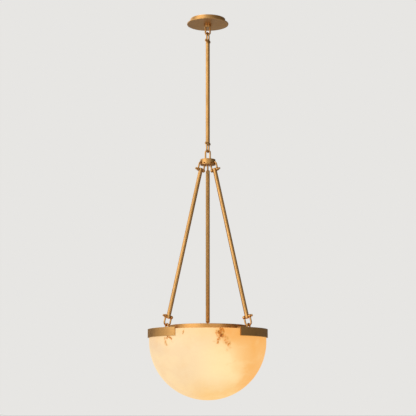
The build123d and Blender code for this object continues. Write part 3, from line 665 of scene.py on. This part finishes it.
bright = None
for middle in bulb_places:
    outward = Vector((middle.x, middle.y, middle.z - bowl_middle)).normalized()
    patch = outward * bowl_radius * PATCH_RADIUS_SHARE + Vector((0, 0, bowl_middle))
    distance = vector_maths(alabaster, "DISTANCE", place, tuple(patch))
    near = spread(alabaster, distance, PATCH_NEAR, PATCH_FAR, 1, 0, smooth=True)
    bright = near if bright is None else maths(alabaster, "MAXIMUM", bright, near)

clouds = grain(alabaster, shaken(alabaster, place, 9, 0.05), 8.5, 6, 0.55)
flattened = vector_maths(alabaster, "MULTIPLY", shaken(alabaster, place, 7, 0.06), (6, 6, 16))
bands = grain(alabaster, flattened, 1.4, 5, 0.6)

apart = alabaster.node_tree.nodes.new("ShaderNodeSeparateXYZ")
join(alabaster, shaken(alabaster, place, 14, 0.03), apart.inputs[0])
across, height = apart.outputs["X"], apart.outputs["Z"]
slant = maths(alabaster, "ADD", across, product(height, EDGE_SLANT))
edge = EDGE_OFFSET + EDGE_SLANT * bowl_middle
denser_right = spread(alabaster, slant, edge - 0.030, edge + 0.035, smooth=True)
towards_edge = spread(alabaster, slant, edge - 0.11, edge, 0, 0.55, smooth=True)
near_rim = spread(alabaster, height, bowl_middle - RIM_FADE, bowl_rim, smooth=True)
near_foot = spread(alabaster, height, bowl_middle - FOOT_LOW, bowl_middle - FOOT_HIGH, 1, 0, smooth=True)
foot_share = spread(alabaster, across, -0.09, 0.02, 0.30, 0.85, smooth=True)
# Painted shade: the glow is dulled in a soft patch on the stone just under the left claw.
from_painted_claw_shade = vector_maths(alabaster, "DISTANCE", place, tuple(PAINTED_SHADE_MIDDLE))
painted_claw_shade = spread(alabaster, from_painted_claw_shade, PAINTED_SHADE_NEAR, PAINTED_SHADE_FAR, PAINTED_SHADE_SHARE, 0, smooth=True)

cloudy = spread(alabaster, clouds, 0.36, 0.66, -0.14, 0.16)
honey = maths(alabaster, "ADD", product(denser_right, 0.86), cloudy)
honey = maths(alabaster, "SUBTRACT", honey, product(bright, 0.42))
honey_share = spread(alabaster, honey, 0, 1, 0.02, 1.0)
print("bright patches:", len(bulb_places), "edge at", round(edge, 4))

# %% [markdown]
# The colours go on in layers, each over the ones before it, as a painter would glaze them: first the
# stone's own tints and the painted shade under the left claw, then the light of the bulbs, and at last
# the veins, which take the light away and leave their own brown.

# %% Glow through the stone
STONE_CREAM = (0.78, 0.555, 0.305)
STONE_PALE = (0.91, 0.70, 0.345)
STONE_HONEY = (0.83, 0.375, 0.068)
STONE_AMBER = (0.84, 0.475, 0.115)
# The dull colour of the painted shade under the left claw.
PAINTED_SHADE_COLOUR = (0.66, 0.45, 0.27)
STAIN_ORANGE = (0.74, 0.22, 0.012)
STAIN_OLIVE = (0.60, 0.26, 0.04)
CRUMB_BROWN = (0.19, 0.038, 0.001)

layers = [
    (product(near_foot, foot_share), STONE_AMBER),
    # The painted shade under the left claw.
    (painted_claw_shade, PAINTED_SHADE_COLOUR),
    (towards_edge, STONE_AMBER),
    (honey_share, STONE_HONEY),
    (product(bright, 0.68), STONE_PALE),
    (spread(alabaster, bands, 0.45, 0.70, 0, 0.34), STONE_PALE),
    (product(near_rim, 0.30), STONE_AMBER),
    (product(product(near_rim, denser_right), 0.28), STAIN_ORANGE),
    (product(stain, 0.90), blend_colours(alabaster, smoky, STAIN_ORANGE, STAIN_OLIVE)),
    (product(core, 0.90), CRUMB_BROWN),
]
glow = STONE_CREAM
for share, colour in layers:
    glow = blend_colours(alabaster, share, glow, colour)
join(alabaster, glow, stone.inputs["Emission Color"])
print("layers of glow:", len(layers))

# %% [markdown]
# Some room light falls on the stone from outside and is scattered back. Its colour follows the same
# regions, in duller tones. The fine relief doesn't depend on the veins: a height that did would make
# Blender work out the whole vein network three times at each point.

# %% Skin of the stone
SKIN_CLEAR = (0.30, 0.25, 0.18)
SKIN_HONEY = (0.24, 0.15, 0.08)
SKIN_STAIN = (0.18, 0.07, 0.01)
SKIN_CRUMB = (0.08, 0.016, 0.0)
skin = blend_colours(alabaster, honey_share, SKIN_CLEAR, SKIN_HONEY)
skin = blend_colours(alabaster, stain, skin, SKIN_STAIN)
skin = blend_colours(alabaster, core, skin, SKIN_CRUMB)
join(alabaster, skin, stone.inputs["Base Color"])
raise_grain(alabaster, stone, grain(alabaster, place, 210, 5, 0.7), 0.25, 0.0002)
print("stone nodes:", len(alabaster.node_tree.nodes))

# %% [markdown]
# ## Giving each piece its finish
#
# The record already says which kind of material each piece is. Brass is split further by how the piece
# was made: turned, brushed or tumbled.

# %% Assign finishes
FINISHES = {
    "zinc_steel": zinc,
    "ground_green": earth_green,
    "alabaster": alabaster,
    "liner_rubber": rubber,
    "white_enamel": enamel,
    "black_plastic": black_plastic,
    "clear_plastic": nylon,
    "porcelain": porcelain,
    "bulb_metal": bulb_shell,
    "frosted_glass": bulb_glow,
}
TURNED = ("canopy_cover", "hub_body", "claw_1", "claw_2", "claw_3", "light_pan")


def brass_for(node):
    """The brass that shows how this piece was worked."""
    if node in TURNED:
        return turned_brass
    if node == "stem_tube":
        return stem_brass
    if node.startswith("rod_tube_"):
        return rod_brass[int(node[-1])]
    return tumbled_brass


for part in frame["record"]["subparts"]:
    node, slot = part["node"], part["material_slot"]
    finish = brass_for(node) if slot == "aged_brass" else FINISHES[slot]
    mesh = nodes[node].data
    mesh.materials.clear()
    mesh.materials.append(finish)

# %% [markdown]
# ## The floor
#
# The lamp hangs, so nothing rests on the floor, but a pale sheet far below keeps other views from
# looking into nothing. It is wide enough that its edge stays out of them. A view from under it looks
# straight through it: Backfacing tells the two sides apart, and the lower one is transparent.

# %% Floor
FLOOR_HEIGHT = -2.3
FLOOR_REACH = 60
FLOOR_GLOW = 0.30
FLOOR_COLOUR = (0.62, 0.61, 0.59, 1)
SQUARE = ((-1, -1), (1, -1), (1, 1), (-1, 1))
floor_mesh = bpy.data.meshes.new("floor")
sheet = bmesh.new()
corners = [sheet.verts.new((x * FLOOR_REACH, y * FLOOR_REACH, FLOOR_HEIGHT)) for x, y in SQUARE]
sheet.faces.new(corners)
sheet.to_mesh(floor_mesh)
sheet.free()
floor = bpy.data.objects.new("floor", floor_mesh)
scene.collection.objects.link(floor)
floor_finish, floor_shader = new_finish(
    "pale_floor", Base_Color=FLOOR_COLOUR, Roughness=0.9, Emission_Color=BACKDROP
)
floor_nodes = floor_finish.node_tree.nodes
floor_rays = floor_nodes.new("ShaderNodeLightPath")
glow_for_camera = maths(floor_finish, "MULTIPLY", floor_rays.outputs["Is Camera Ray"], FLOOR_GLOW)
join(floor_finish, glow_for_camera, floor_shader.inputs["Emission Strength"])
facing = floor_nodes.new("ShaderNodeNewGeometry")
clear = floor_nodes.new("ShaderNodeBsdfTransparent")
one_sided = floor_nodes.new("ShaderNodeMixShader")
join(floor_finish, facing.outputs["Backfacing"], one_sided.inputs[0])
join(floor_finish, floor_shader.outputs[0], one_sided.inputs[1])
join(floor_finish, clear.outputs[0], one_sided.inputs[2])
join(floor_finish, one_sided.outputs[0], floor_nodes["Material Output"].inputs["Surface"])
floor_mesh.materials.append(floor_finish)
print("floor at", FLOOR_HEIGHT)
